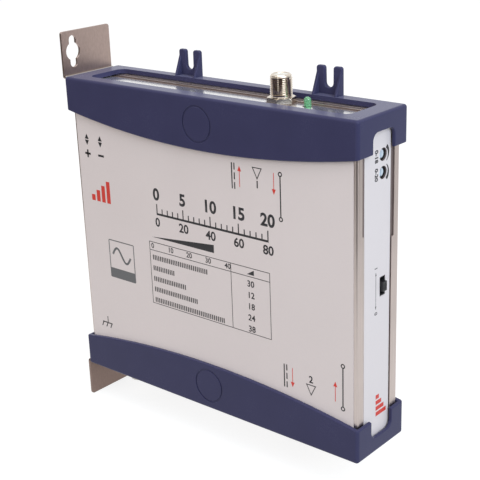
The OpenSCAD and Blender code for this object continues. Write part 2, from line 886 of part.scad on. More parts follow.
module port_nut() {
    difference() {
        rotate([0, 0, nut_turn]) hex(nut_af, nut_h);
        translate([0, 0, -over]) cylinder(r = neck_r + fit, h = nut_h + 2 * over);
    }
}

module insulator() {
    difference() {
        translate([0, 0, -port_in]) cylinder(r = insulator_r, h = port_in + port_l - insulator_drop);
        translate([0, 0, -port_in - over]) cylinder(r = contact_r, h = port_in + port_l + 2 * over);
    }
}

// The spring contact, whose tail turns back to the board
module contact() {
    mouth = port_l - contact_drop;
    difference() {
        translate([0, 0, -contact_in]) cylinder(r = contact_r, h = contact_in + mouth);
        translate([0, 0, mouth / 2]) cylinder(r = contact_hole_r, h = mouth);
    }
    translate([0, 0, -contact_in + tail_r]) bar_y(tail_r, 0, port_rise);
}

module at_input() {
    translate([input_x, port_y, frame_z]) children();
}

module at_output() {
    translate([output_x, port_y, -frame_z]) mirror([0, 0, 1]) children();
}

module input_connector() {
    color("burlywood") at_input() connector();
}

module input_nut() {
    color("burlywood") at_input() port_nut();
}

module input_insulator() {
    color("ivory") at_input() insulator();
}

module input_contact() {
    color("gold") at_input() contact();
}

module output_connector() {
    color("burlywood") at_output() connector();
}

module output_nut() {
    color("burlywood") at_output() port_nut();
}

module output_insulator() {
    color("ivory") at_output() insulator();
}

module output_contact() {
    color("gold") at_output() contact();
}

// Lamp

module lamp_lens() {
    low = -frame_wall - lamp_rim_h;
    color("limegreen") translate([lamp_x, port_y, frame_z]) rotate_extrude() difference() {
        union() {
            translate([0, low]) square([lamp_r + lamp_rim, lamp_rim_h]);
            translate([0, low]) square([lamp_r, lamp_h - lamp_r - low]);
            translate([0, lamp_h - lamp_r]) circle(lamp_r);
        }
        translate([-2 * lamp_r, low - over]) square([2 * lamp_r, lamp_h - low + 2 * over]);
    }
}

module lamp_leads() {
    color("silver") translate([lamp_x, port_y, frame_z - frame_wall - lamp_rim_h - lead_in])
        for (s = [-1, 1]) translate([s * lead_gap / 2, 0, 0]) {
            cylinder(r = lead_r, h = lead_in);
            translate([0, 0, lead_r]) bar_y(lead_r, 0, port_rise);
        }
}

// Trimmers: a body on the board and a rotor that turns in it

module trimmer(z) {
    difference() {
        box([trimmer_x - trimmer_l, trimmer_y - trimmer_body / 2, z - trimmer_body / 2],
            [trimmer_x, board_face, z + trimmer_body / 2]);
        translate([0, trimmer_y, z])
            bar_x(rotor_r + rotor_gap, rotor_x - rotor_l - rotor_gap, rotor_l + rotor_sink);
    }
}

module rotor(z) {
    translate([0, trimmer_y, z]) difference() {
        bar_x(rotor_r, rotor_x - rotor_l, rotor_l);
        translate([rotor_x, 0, 0]) cube([2 * driver_slot, driver_slot, 3 * rotor_r], center = true);
    }
}

module slope_trimmer() {
    color("black") trimmer(slope_z);
}

module slope_rotor() {
    color("lavender") rotor(slope_z);
}

module gain_trimmer() {
    color("black") trimmer(gain_z);
}

module gain_rotor() {
    color("lavender") rotor(gain_z);
}

// Supply switch: a knob on a carriage that slides in a housing

module switch_housing() {
    color("black") difference() {
        union() {
            box([cavity_x - housing_wall, switch_y - cavity_half_w - housing_wall,
                    -cavity_half_l - housing_wall],
                [trimmer_x, board_face, cavity_half_l + housing_wall]);
            box([cavity_end, switch_y - nose_half_w, -nose_half_l],
                [frame_x, switch_y + nose_half_w, nose_half_l]);
        }
        box([cavity_x, switch_y - cavity_half_w, -cavity_half_l],
            [cavity_end, switch_y + cavity_half_w, cavity_half_l]);
        box([cavity_x + over, switch_y - slot_half_w, -slot_half_l],
            [frame_x + over, switch_y + slot_half_w, slot_half_l]);
    }
}

module switch_slider() {
    color("black") {
        box([carriage_x, switch_y - carriage_half_w, -carriage_half_l],
            [carriage_x + carriage_l, switch_y + carriage_half_w, carriage_half_l]);
        box([carriage_x + over, switch_y - knob_w / 2, -knob_l / 2],
            [frame_x + knob_reach, switch_y + knob_w / 2, knob_l / 2]);
    }
}

// Power socket in the left wall

module power_socket() {
    color("black") difference() {
        union() {
            box([-trimmer_x, socket_y - socket_half, socket_z - socket_half],
                [-trimmer_x + socket_l, board_face, socket_z + socket_half]);
            translate([0, socket_y, socket_z]) bar_x(nose_r, -frame_x, socket_l / 2);
        }
        translate([0, socket_y, socket_z]) bar_x(socket_r, -frame_x - over, socket_bore_l + over);
    }
}

module power_socket_pin() {
    color("silver") translate([0, socket_y, socket_z])
        bar_x(socket_pin_r, -frame_x + socket_pin_drop, socket_bore_l - socket_pin_drop);
}

// Earth terminal under the case: a post riveted to the frame, a washer and a clamp screw,
// drawn with the frame's outer face at z = 0 and the screw upwards

module at_earth() {
    translate([earth_x, port_y, -frame_z]) mirror([0, 0, 1]) children();
}

module earth_post() {
    color("lightgray") at_earth() difference() {
        union() {
            hex(earth_af, earth_l);
            translate([0, 0, -frame_wall]) cylinder(r = spigot_r, h = frame_wall + over);
            translate([0, 0, -frame_wall - rivet_h]) cylinder(r = rivet_r, h = rivet_h);
        }
        translate([0, 0, screw_gap]) cylinder(r = earth_shank_r + fit, h = earth_l);
    }
}

module earth_washer() {
    color("lightgray") at_earth() translate([0, 0, earth_l]) difference() {
        cylinder(r = washer_r, h = washer_h);
        translate([0, 0, -over]) cylinder(r = earth_shank_r + fit, h = washer_h + 2 * over);
    }
}

module earth_screw() {
    color("lightgray") at_earth() translate([0, 0, earth_l + washer_h]) rotate([180, 0, 0])
        pan_screw(earth_shank_r, earth_head_r, earth_head_h, earth_l + washer_h - 2 * screw_gap);
}

top_cap();
bottom_cap();
front_cover();
back_cover();
chassis_frame();
front_label();
side_label();
top_label();
top_bracket();
bottom_bracket();
bracket_screws();
circuit_board();
board_screws();
shield_walls();
input_connector();
input_nut();
input_insulator();
input_contact();
output_connector();
output_nut();
output_insulator();
output_contact();
lamp_lens();
lamp_leads();
slope_trimmer();
slope_rotor();
gain_trimmer();
gain_rotor();
switch_housing();
switch_slider();
power_socket();
power_socket_pin();
earth_post();
earth_washer();
earth_screw();
amplifier_module();
heat_sink();
filter_cans();
can_cores();
capacitors();
ferrite_rings();
regulator();
regulator_tab();
chip_parts();
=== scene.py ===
"""Looks of a wall-mounted signal amplifier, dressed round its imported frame."""

import math

import bmesh
import bpy
from bpy.props import FloatProperty, FloatVectorProperty, IntProperty, PointerProperty
from mathutils import Matrix, Quaternion, Vector


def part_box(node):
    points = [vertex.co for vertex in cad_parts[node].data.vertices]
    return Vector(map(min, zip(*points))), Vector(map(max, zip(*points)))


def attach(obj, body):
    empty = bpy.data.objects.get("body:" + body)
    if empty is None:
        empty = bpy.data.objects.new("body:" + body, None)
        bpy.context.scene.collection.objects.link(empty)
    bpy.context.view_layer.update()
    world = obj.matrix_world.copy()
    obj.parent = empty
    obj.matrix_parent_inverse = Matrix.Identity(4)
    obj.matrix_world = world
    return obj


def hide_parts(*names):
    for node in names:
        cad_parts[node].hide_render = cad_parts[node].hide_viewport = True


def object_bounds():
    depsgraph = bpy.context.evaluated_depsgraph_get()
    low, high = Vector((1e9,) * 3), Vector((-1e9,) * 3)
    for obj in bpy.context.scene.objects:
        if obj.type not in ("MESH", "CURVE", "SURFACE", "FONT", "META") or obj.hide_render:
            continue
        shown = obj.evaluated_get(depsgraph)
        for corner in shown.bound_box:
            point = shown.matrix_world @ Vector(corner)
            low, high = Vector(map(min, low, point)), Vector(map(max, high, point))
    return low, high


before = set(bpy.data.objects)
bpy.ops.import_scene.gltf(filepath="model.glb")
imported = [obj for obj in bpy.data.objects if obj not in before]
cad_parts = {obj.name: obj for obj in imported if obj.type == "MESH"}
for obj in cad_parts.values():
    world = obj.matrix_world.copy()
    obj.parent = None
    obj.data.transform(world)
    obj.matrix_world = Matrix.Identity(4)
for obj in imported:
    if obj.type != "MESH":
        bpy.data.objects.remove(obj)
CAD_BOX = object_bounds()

bl_info = {
    "name": "Signal Amplifier Looks",
    "version": (1, 0, 0),
    "blender": (4, 5, 0),
    "location": "View3D > Sidebar > Amplifier",
    "description": "Dresses the amplifier's frame with edges, threads, print and finishes",
    "category": "Object",
}

MM = 0.001
HOUSING = "housing"
NEAR = 0.01 * MM  # places this close count as one
SHARP = math.radians(32.0)  # edges that turn by more get rounded


# Settings

def length(name, description, millimetres):
    """A length setting, given in millimetres and kept in metres."""
    return FloatProperty(name=name, description=description, default=millimetres * MM, min=0.0,
                         unit="LENGTH", precision=5)


def colour(name, description, value):
    """A colour setting, in linear values."""
    return FloatVectorProperty(name=name, description=description, default=value, size=3,
                               min=0.0, max=1.0, subtype="COLOR")


def angle(name, description, degrees):
    """An angle setting, given in degrees and kept in radians."""
    return FloatProperty(name=name, description=description, default=math.radians(degrees),
                         subtype="ANGLE")


def power(name, description, watts):
    """A setting for a lamp's strength."""
    return FloatProperty(name=name, description=description, default=watts, min=0.0, unit="POWER")


class AmplifierSizes(bpy.types.PropertyGroup):
    """Sizes of the details that the frame leaves out."""

    cap_plate: length("Cap plate", "Thickness of a cap's end plate", 2.3)
    cap_end: length("Cap end", "Rounding round the outer end of a cap", 1.3)
    cap_rim: length("Cap rim", "Width round a cap's end that is taken for its outer edge", 2.0)
    cap_corner: length("Cap corner", "Rounding along the upright corners of the caps", 0.9)
    cap_edge: length("Cap edge", "Rounding along the lips and arches of the caps", 0.45)
    window_edge: length("Window edge", "Rounding round a cap's window, near the forks' ribs", 0.07)
    fork_edge: length("Fork edge", "Rounding along the edges of the screw forks", 0.55)
    ring_drop: length("Ring drop", "Distance of the ring's middle from the end of a cap", 12.0)
    ring_reach: length("Ring reach", "Radius that holds the ring's groove", 8.9)
    ring_edge: length("Ring edge", "Rounding along the ring's groove", 0.12)
    lip_reach: length("Lip reach", "Half length of the back cover's lip in a cap's window", 73.6)
    lip_width: length("Lip width", "Width of the back cover's lip in a cap's window", 1.6)
    seam_gap: length("Seam gap", "Distance from the back cover's lip to the frame's own lip", 2.6)
    fold_size: length("Fold size", "Thickness of the fold at the foot of the upper bracket", 0.9)
    sheet_edge: length("Sheet edge", "Rounding along the edges of folded sheet steel", 0.12)
    small_edge: length("Small edge", "Rounding along the edges of screws and small parts", 0.14)
    thread_pitch: length("Thread pitch", "Rise of the port thread in one turn", 0.79)
    thread_depth: length("Thread depth", "Height of the port thread's ridge", 0.42)
    thread_turns: IntProperty(name="Thread turns", description="Turns of the port thread",
                              default=10, min=1, max=10)
    ink_height: length("Ink height", "How far the print stands above its label", 0.03)
    rib_depth: length("Rib depth", "Depth of the grooves on the switch knob", 0.25)


class AmplifierColours(bpy.types.PropertyGroup):
    """Colours of the finishes."""

    cap: colour("Cap", "Moulded end caps", (0.049, 0.048, 0.108))
    steel: colour("Steel", "Brushed case sheet", (0.508, 0.44, 0.413))
    bracket: colour("Bracket", "Wall bracket sheet", (0.44, 0.34, 0.306))
    nickel: colour("Nickel", "Plated ports and nuts", (0.73, 0.65, 0.56))
    front: colour("Front label", "Film on the front cover", (0.775, 0.69, 0.68))
    side: colour("Side label", "Film on the sides of the frame", (0.80, 0.73, 0.73))
    ink: colour("Ink", "Dark print", (0.014, 0.013, 0.016))
    red_ink: colour("Red ink", "Red print", (0.68, 0.045, 0.03))
    lamp: colour("Lamp", "Tinted lamp resin", (0.32, 0.80, 0.45))


class AmplifierStage(bpy.types.PropertyGroup):
    """Where the camera stands and how strong the light is."""

    eye: FloatVectorProperty(name="Camera place", description="Where the camera stands", size=3,
                             default=(0.3097, -0.3673, 0.1715), subtype="TRANSLATION")
    azimuth: angle("Azimuth", "Turn of the view to the right", 40.87)
    elevation: angle("Elevation", "Height of the view over the horizon", 19.69)
    roll: angle("Roll", "Tilt of the camera about its own axis", -2.12)
    lens: FloatProperty(name="Lens", description="Focal length on a 36 mm sensor", default=81.88,
                        min=1.0, unit="CAMERA")
    ambient: FloatProperty(name="Ambient", description="Light from all round", default=0.6, min=0.0)
    key: power("Key lamp", "Lamp at the right", 8.0)
    fill: power("Fill lamp", "Lamp at the front left", 3.1)
    top: power("Top lamp", "Lamp overhead", 3.6)


def sizes():
    """The scene's sizes."""
    return bpy.context.scene.amplifier_sizes


def colours():
    """The scene's colours."""
    return bpy.context.scene.amplifier_colours


# Finishes

# Sockets of a mix node: its factor, then two inputs and an output for values and for colours
FACTOR = 0
VALUE_A, VALUE_B, VALUE = 2, 3, 0
COLOUR_A, COLOUR_B, COLOUR = 6, 7, 2


def noise(tree, vector, scale, detail, roughness=0.5):
    """A noise texture at the scale that a socket gives."""
    node = tree.nodes.new("ShaderNodeTexNoise")
    node.inputs["Detail"].default_value = detail
    node.inputs["Roughness"].default_value = roughness
    tree.links.new(vector, node.inputs["Vector"])
    tree.links.new(scale, node.inputs["Scale"])
    return node.outputs["Fac"]


def blend(tree, first, second, share):
    """A value between two others."""
    node = tree.nodes.new("ShaderNodeMix")
    node.inputs[FACTOR].default_value = share
    tree.links.new(first, node.inputs[VALUE_A])
    tree.links.new(second, node.inputs[VALUE_B])
    return node.outputs[VALUE]


# Each effect: its group's name, its fine part, the scale, detail and roughness of that part, the
# scale and detail of the slow clouds under it, and the fine part's share in the tone and the gloss
EFFECTS = {
    "grain": ("Moulded grain", "Grain", 2600.0, 3.0, 0.5, 60.0, 4.0, 0.25, 0.55),
    "streaks": ("Brushed streaks", "Streaks", 3200.0, 4.0, 0.65, 45.0, 3.0, 0.65, 0.7),
    "film": ("Film mottle", "Skin", 900.0, 2.0, 0.5, 25.0, 3.0, 0.3, 0.4),
}

# How an effect is stretched along X, Y and Z
EVEN = (1.0, 1.0, 1.0)
UPRIGHT = (1.0, 1.0, 0.02)
ROUND = (0.04, 0.04, 1.0)
MOTTLED = (0.3, 0.3, 0.14)

METAL = {"Metallic": 1.0}

# Each finish: effect, stretch, colour, spread of tone, roughness from and to, relief in mm and
# further shader values. The colour is a setting's name or a linear value.
FINISHES = {
    "cap plastic": ("grain", EVEN, "cap", 0.07, (0.2, 0.32), 0.010,
                    {"Specular IOR Level": 0.09, "Sheen Weight": 0.45, "Sheen Roughness": 0.3,
                     "Sheen Tint": (0.75, 0.75, 1.0, 1.0)}),
    "case steel": ("streaks", UPRIGHT, "steel", 0.16, (0.24, 0.42), 0.004, METAL),
    # A darker copy of the case steel: painted shade for the recesses between the labels and the
    # cover flanges
    "frame steel": ("streaks", UPRIGHT, (0.23, 0.18, 0.172), 0.16, (0.4, 0.55), 0.004,
                    {"Metallic": 0.6}),
    "bracket steel": ("streaks", MOTTLED, "bracket", 0.17, (0.26, 0.44), 0.003, METAL),
    # A darker copy of the bracket steel for the lower bracket: painted shade for the shaded ground
    # it reflects
    "lower bracket steel": ("streaks", MOTTLED, (0.228, 0.166, 0.144), 0.17, (0.3, 0.46), 0.003,
                            METAL),
    "screw steel": ("streaks", EVEN, (0.52, 0.49, 0.45), 0.10, (0.22, 0.36), 0.003, METAL),
    "port nickel": ("streaks", ROUND, "nickel", 0.08, (0.08, 0.16), 0.0006, METAL),
    "contact brass": ("streaks", EVEN, (0.78, 0.57, 0.25), 0.08, (0.18, 0.3), 0.002, METAL),
    "sink aluminium": ("streaks", UPRIGHT, (0.62, 0.63, 0.64), 0.10, (0.28, 0.42), 0.004, METAL),
    "front film": ("film", EVEN, "front", 0.025, (0.38, 0.5), 0.002, {}),
    "side film": ("film", EVEN, "side", 0.02, (0.34, 0.46), 0.002, {}),
    "bright strip": ("film", EVEN, (0.84, 0.83, 0.84), 0.03, (0.10, 0.18), 0.0002,
                     {"Metallic": 0.85}),
    "dark ink": ("film", EVEN, "ink", 0.15, (0.4, 0.52), 0.002, {}),
    "red ink": ("film", EVEN, "red_ink", 0.06, (0.4, 0.52), 0.002, {}),
    "grey ink": ("film", EVEN, (0.13, 0.13, 0.135), 0.06, (0.4, 0.52), 0.002, {}),
    "lamp resin": ("grain", EVEN, "lamp", 0.05, (0.05, 0.1), 0.001,
                   {"Transmission Weight": 0.7, "IOR": 1.5}),
    "insulator plastic": ("grain", EVEN, (0.80, 0.78, 0.72), 0.03, (0.4, 0.5), 0.004, {}),
    "black plastic": ("grain", EVEN, (0.016, 0.016, 0.018), 0.12, (0.36, 0.5), 0.008, {}),
    "rotor plastic": ("grain", EVEN, (0.70, 0.78, 0.86), 0.05, (0.22, 0.32), 0.003, {}),
    "board resin": ("film", EVEN, (0.018, 0.15, 0.06), 0.15, (0.3, 0.42), 0.004, {}),
    "ferrite": ("grain", EVEN, (0.04, 0.039, 0.038), 0.12, (0.5, 0.66), 0.01, {}),
    "capacitor sleeve": ("film", EVEN, (0.02, 0.024, 0.05), 0.08, (0.28, 0.4), 0.003, {}),
    "chip ceramic": ("grain", EVEN, (0.38, 0.29, 0.19), 0.10, (0.4, 0.55), 0.004, {}),
}


def effect_group(effect):
    """The named effect's node group, made on first use: a fine part over slow clouds."""
    name, part, scale, detail, rough, cloud_scale, cloud_detail, toned, glossed = EFFECTS[effect]
    tree = bpy.data.node_groups.get(name)
    if tree:
        return tree
    tree = bpy.data.node_groups.new(name, "ShaderNodeTree")
    for label in ("Vector", "Stretch"):
        tree.interface.new_socket(label, in_out="INPUT", socket_type="NodeSocketVector")
    for label, value in ((part, scale), ("Cloud", cloud_scale)):
        socket = tree.interface.new_socket(label, in_out="INPUT", socket_type="NodeSocketFloat")
        socket.default_value = value
    for label in ("Tone", "Gloss", "Relief"):
        tree.interface.new_socket(label, in_out="OUTPUT", socket_type="NodeSocketFloat")
    into = tree.nodes.new("NodeGroupInput")
    out = tree.nodes.new("NodeGroupOutput")
    stretch = tree.nodes.new("ShaderNodeVectorMath")
    stretch.operation = "MULTIPLY"
    tree.links.new(into.outputs["Vector"], stretch.inputs[0])
    tree.links.new(into.outputs["Stretch"], stretch.inputs[1])
    fine = noise(tree, stretch.outputs["Vector"], into.outputs[part], detail, rough)
    cloud = noise(tree, into.outputs["Vector"], into.outputs["Cloud"], cloud_detail)
    tree.links.new(blend(tree, cloud, fine, toned), out.inputs["Tone"])
    tree.links.new(blend(tree, cloud, fine, glossed), out.inputs["Gloss"])
    tree.links.new(fine, out.inputs["Relief"])
    return tree


def new_material(name):
    """A new material, its tree and its shader."""
    material = bpy.data.materials.new(name)
    material.use_nodes = True
    tree = material.node_tree
    return material, tree, tree.nodes["Principled BSDF"]


def finish(name):
    """The named material, made on first use."""
    material = bpy.data.materials.get(name)
    if material:
        return material
    effect, stretch, base, spread, (gloss, matt), relief, values = FINISHES[name]
    base = getattr(colours(), base) if isinstance(base, str) else base
    material, tree, shader = new_material(name)
    place = tree.nodes.new("ShaderNodeTexCoord")
    group = tree.nodes.new("ShaderNodeGroup")
    group.node_tree = effect_group(effect)
    group.inputs["Stretch"].default_value = stretch
    tone = tree.nodes.new("ShaderNodeMix")
    tone.data_type = "RGBA"
    tone.inputs[COLOUR_A].default_value = (*(c * (1 - 2 * spread) for c in base), 1.0)
    tone.inputs[COLOUR_B].default_value = (*(min(1.0, c * (1 + 2 * spread)) for c in base), 1.0)
    rough = tree.nodes.new("ShaderNodeMapRange")
    rough.inputs["To Min"].default_value = gloss
    rough.inputs["To Max"].default_value = matt
    bump = tree.nodes.new("ShaderNodeBump")
    bump.inputs["Distance"].default_value = relief * MM
    bump.inputs["Strength"].default_value = 1.0
    tree.links.new(place.outputs["Object"], group.inputs["Vector"])
    tree.links.new(group.outputs["Tone"], tone.inputs[FACTOR])
    tree.links.new(tone.outputs[COLOUR], shader.inputs["Base Color"])
    tree.links.new(group.outputs["Gloss"], rough.inputs["Value"])
    tree.links.new(rough.outputs["Result"], shader.inputs["Roughness"])
    tree.links.new(group.outputs["Relief"], bump.inputs["Height"])
    tree.links.new(bump.outputs["Normal"], shader.inputs["Normal"])
    for socket, value in values.items():
        shader.inputs[socket].default_value = value
    return material


def paint(piece, name):
    """Gives a piece or a CAD node one finish."""
    if piece.material_slots:
        piece.material_slots[0].material = finish(name)
    else:
        piece.data.materials.append(finish(name))


# Modelling

# Corners this close become one: in a CAD mesh, a turned piece and print
NODE_MERGE = 0.002 * MM
RING_MERGE = 0.001 * MM
INK_MERGE = 0.0005 * MM
NODE_FLAT = math.radians(0.2)  # faces of a CAD mesh that turn by less become one


def start_fresh():
    """Leaves edit mode and deselects everything."""
    if bpy.context.object and bpy.context.object.mode != "OBJECT":
        bpy.ops.object.mode_set(mode="OBJECT")
    bpy.ops.object.select_all(action="DESELECT")


def take(*pieces):
    """Selects just these pieces, the first one active."""
    start_fresh()
    for piece in pieces:
        piece.select_set(True)
    bpy.context.view_layer.objects.active = pieces[0]


def edit(piece):
    """Opens a piece in edit mode with everything selected."""
    take(piece)
    bpy.ops.object.mode_set(mode="EDIT")
    bpy.ops.mesh.select_all(action="SELECT")


def close():
    """Goes back to object mode."""
    bpy.ops.object.mode_set(mode="OBJECT")


def close_outward():
    """Turns all faces outward and goes back to object mode."""
    bpy.ops.mesh.select_all(action="SELECT")
    bpy.ops.mesh.normals_make_consistent(inside=False)
    close()


def pick_faces(piece, wanted):
    """Selects the open piece's faces whose centre and normal are wanted."""
    bpy.ops.mesh.select_mode(type="FACE")
    bpy.ops.mesh.select_all(action="DESELECT")
    mesh = bmesh.from_edit_mesh(piece.data)
    for face in mesh.faces:
        face.select_set(wanted(face.calc_center_median(), face.normal))
    bmesh.update_edit_mesh(piece.data)


def pick_edges(piece, wanted):
    """Selects the open piece's sharp outer edges whose middle is wanted."""
    bpy.ops.mesh.select_mode(type="EDGE")
    bpy.ops.mesh.select_all(action="DESELECT")
    mesh = bmesh.from_edit_mesh(piece.data)
    for edge in mesh.edges:
        middle = (edge.verts[0].co + edge.verts[1].co) / 2
        if edge.is_convex and edge.calc_face_angle(0.0) > SHARP and wanted(middle):
            edge.select_set(True)
    bmesh.update_edit_mesh(piece.data)


def new_object(name, data):
    """A new object in the scene."""
    added = bpy.data.objects.new(name, data)
    bpy.context.scene.collection.objects.link(added)
    return added


def node_copy(node, name):
    """A new piece with a CAD node's shape, its triangles merged into whole faces."""
    piece = new_object(name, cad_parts[node].data.copy())
    piece.data.materials.clear()
    take(piece)
    bpy.ops.mesh.customdata_custom_splitnormals_clear()
    edit(piece)
    bpy.ops.mesh.remove_doubles(threshold=NODE_MERGE)
    bpy.ops.mesh.dissolve_limited(angle_limit=NODE_FLAT)
    close_outward()
    return piece


def apply_modifier(piece, kind, **values):
    """Adds a modifier with these values and applies it."""
    take(piece)
    modifier = piece.modifiers.new(kind.title(), kind)
    for label, value in values.items():
        setattr(modifier, label, value)
    bpy.ops.object.modifier_apply(modifier=modifier.name)


def smooth(piece, degrees=35.0):
    """Smooth shading that keeps sharp corners and flat faces."""
    take(piece)
    bpy.ops.object.shade_smooth_by_angle(angle=math.radians(degrees))
    apply_modifier(piece, "WEIGHTED_NORMAL", keep_sharp=True)


def soften(piece, width, segments=3):
    """Rounds the piece's sharp edges."""
    apply_modifier(piece, "BEVEL", width=width, segments=segments, limit_method="ANGLE",
                   angle_limit=SHARP, use_clamp_overlap=True)
    smooth(piece)


def round_off(piece, widths, width_at, segments=4):
    """Rounds the piece's sharp outer edges by the width that holds at each edge's middle."""
    edit(piece)
    for width in widths:
        pick_edges(piece, lambda middle: width_at(middle) == width)
        bpy.ops.transform.edge_bevelweight(value=width / max(widths))
    close()
    apply_modifier(piece, "BEVEL", width=max(widths), segments=segments, limit_method="WEIGHT",
                   use_clamp_overlap=False, loop_slide=False)
    smooth(piece)


def place(piece, matrix):
    """Puts a piece at a place and keeps that place in its mesh."""
    take(piece)
    piece.matrix_world = matrix
    bpy.ops.object.transform_apply(location=True, rotation=True, scale=True)


def mount(piece, finish_name, body=HOUSING, stands_for=()):
    """Finishes a piece and lets it ride on its body."""
    paint(piece, finish_name)
    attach(piece, body)
    if stands_for:
        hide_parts(*stands_for)


def softened_node(node, edge, finish_name, body=HOUSING):
    """A CAD node's shape with rounded edges, which stands for the node."""
    piece = node_copy(node, node + "_body")
    soften(piece, edge)
    mount(piece, finish_name, body, (node,))


def turned(name, stations, sides=64):
    """A turned piece round Z: a circle, extruded and resized from station to station in mm."""
    start_fresh()
    radius, height = stations[0]
    bpy.ops.mesh.primitive_circle_add(vertices=sides, radius=radius * MM,
                                      location=(0, 0, height * MM))
    piece = bpy.context.object
    piece.name = name
    edit(piece)
    for next_radius, next_height in stations[1:]:
        rise = (0.0, 0.0, (next_height - height) * MM)
        bpy.ops.mesh.extrude_edges_move(TRANSFORM_OT_translate={"value": rise})
        share = next_radius / radius
        bpy.ops.transform.resize(value=(share, share, 1.0),
                                 center_override=(0.0, 0.0, next_height * MM))
        radius, height = next_radius, next_height
    bpy.ops.mesh.select_all(action="SELECT")
    bpy.ops.mesh.remove_doubles(threshold=RING_MERGE)
    bpy.ops.mesh.select_all(action="DESELECT")
    bpy.ops.mesh.select_mode(type="EDGE")
    bpy.ops.mesh.select_non_manifold()
    bpy.ops.mesh.edge_face_add()
    close_outward()
    place(piece, piece.matrix_world.copy())
    return piece


def rail(name, low, high, edge):
    """A straight bar between two corners, with rounded edges."""
    start_fresh()
    bpy.ops.mesh.primitive_cube_add(size=1.0)
    piece = bpy.context.object
    piece.name = name
    span = [abs(b - a) for a, b in zip(low, high)]
    middle = [(a + b) / 2 for a, b in zip(low, high)]
    place(piece, Matrix.Translation(middle) @ Matrix.Diagonal((*span, 1.0)))
    soften(piece, edge)
    return piece


def joined(name, pieces):
    """Several pieces made one."""
    take(*pieces)
    bpy.ops.object.join()
    pieces[0].name = name
    return pieces[0]


def upright_copy(piece, name, x, y, z, turned_over):
    """A copy of a piece made round Z, with its own mesh, stood at a place or upside down there."""
    copy = new_object(name, piece.data.copy())
    turn = Matrix.Rotation(math.pi if turned_over else 0.0, 4, "X")
    place(copy, Matrix.Translation((x, y, z)) @ turn)
    return copy


def discard(*pieces):
    """Removes pieces that were only used to make others."""
    for piece in pieces:
        bpy.data.objects.remove(piece)


# Print, drawn flat in mm and then raised and set on a label

DIGIT = 0.72  # height of a digit as a share of the type's size


def draw_shape(points):
    """A filled outline."""
    bpy.ops.mesh.primitive_circle_add(vertices=len(points), fill_type="NGON")
    mark = bpy.context.object
    for vertex, (x, y) in zip(mark.data.vertices, points):
        vertex.co = (x * MM, y * MM, 0.0)
    return mark


def draw_bar(left, low, right, high):
    """A filled rectangle."""
    return draw_shape([(left, low), (right, low), (right, high), (left, high)])


def draw_frame(points, width):
    """An outline of even width."""
    mark = draw_shape(points)
    edit(mark)
    bpy.ops.mesh.inset(thickness=width * MM, depth=0.0)
    bpy.ops.mesh.delete(type="FACE")
    close()
    return mark


def draw_line(x0, y0, x1, y1, width):
    """A straight line of even width."""
    along = Vector((x1 - x0, y1 - y0)).normalized() * (width / 2)
    a, b = along.y, along.x
    return draw_shape([(x0 + a, y0 - b), (x1 + a, y1 - b), (x1 - a, y1 + b), (x0 - a, y0 + b)])


def draw_ribbon(points, widths):
    """A bent line whose width changes along it."""
    left, right = [], []
    for i, (x, y) in enumerate(points):
        (xa, ya), (xb, yb) = points[max(i - 1, 0)], points[min(i + 1, len(points) - 1)]
        side = Vector((ya - yb, xb - xa)).normalized() * (widths[i] / 2)
        left.append((x + side.x, y + side.y))
        right.append((x - side.x, y - side.y))
    return draw_shape(right + left[::-1])


def draw_arrow(x, tail, tip, line, head_width, head_length):
    """An upright arrow."""
    way = 1.0 if tip > tail else -1.0
    neck = tip - way * head_length
    low, high = sorted((tail, neck))
    half = head_width / 2
    return [draw_bar(x - line / 2, low, x + line / 2, high),
            draw_shape([(x - half, neck), (x + half, neck), (x, tip)])]


def draw_number(text, x, y, height, weight=0.0, turn=0.0):
    """A plain number, centred on a point."""
    bpy.ops.object.text_add()
    mark = bpy.context.object
    mark.data.body = str(text)
    mark.data.size = height / DIGIT * MM
    mark.data.align_x = "CENTER"
    mark.data.align_y = "CENTER"
    mark.data.resolution_u = 5
    mark.data.offset = weight * MM
    bpy.ops.object.convert(target="MESH")
    place(mark, Matrix.Translation((x * MM, y * MM, 0.0)) @ Matrix.Rotation(turn, 4, "Z"))
    return mark


def draw_corners(left, low, right, high, radius, steps=6):
    """Points of a rectangle with round corners."""
    points = []
    for x, y, start in ((right - radius, high - radius, 0), (left + radius, high - radius, 1),
                        (left + radius, low + radius, 2), (right - radius, low + radius, 3)):
        for step in range(steps + 1):
            angle = (start + step / steps) * math.pi / 2
            points.append((x + radius * math.cos(angle), y + radius * math.sin(angle)))
    return points


def print_on(name, marks, plane, ink):
    """Joins flat marks, gives them the ink's height and sets them on a label."""
    piece = joined(name, marks)
    edit(piece)
    bpy.ops.mesh.remove_doubles(threshold=INK_MERGE)
    rise = (0.0, 0.0, 2 * sizes().ink_height)
    bpy.ops.mesh.extrude_region_move(TRANSFORM_OT_translate={"value": rise})
    close_outward()
    place(piece, plane)
    mount(piece, ink)


def front_plane():
    """Print plane on the front label, sunk so that half of the ink's height stands out."""
    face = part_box("front_label")[0].y + sizes().ink_height
    return Matrix(((1, 0, 0, 0), (0, 0, -1, face), (0, 1, 0, 0), (0, 0, 0, 1)))


def side_plane():
    """Print plane on the side label, drawn in Y and Z."""
    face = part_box("side_label")[1].x - sizes().ink_height
    return Matrix(((0, 0, 1, face), (1, 0, 0, 0), (0, 1, 0, 0), (0, 0, 0, 1)))


# Stage, in metres

# Each lamp: name, the setting of its strength, width, place and tint
LAMPS = (
    ("key_lamp", "key", 0.75, (0.95, -0.35, 0.55), (0.75, 0.88, 1.0)),
    ("fill_lamp", "fill", 0.9, (-0.45, -1.05, 0.45), (1.0, 0.93, 0.84)),
    ("top_lamp", "top", 1.0, (0.1, -0.15, 1.15), (1.0, 0.98, 0.96)),
)
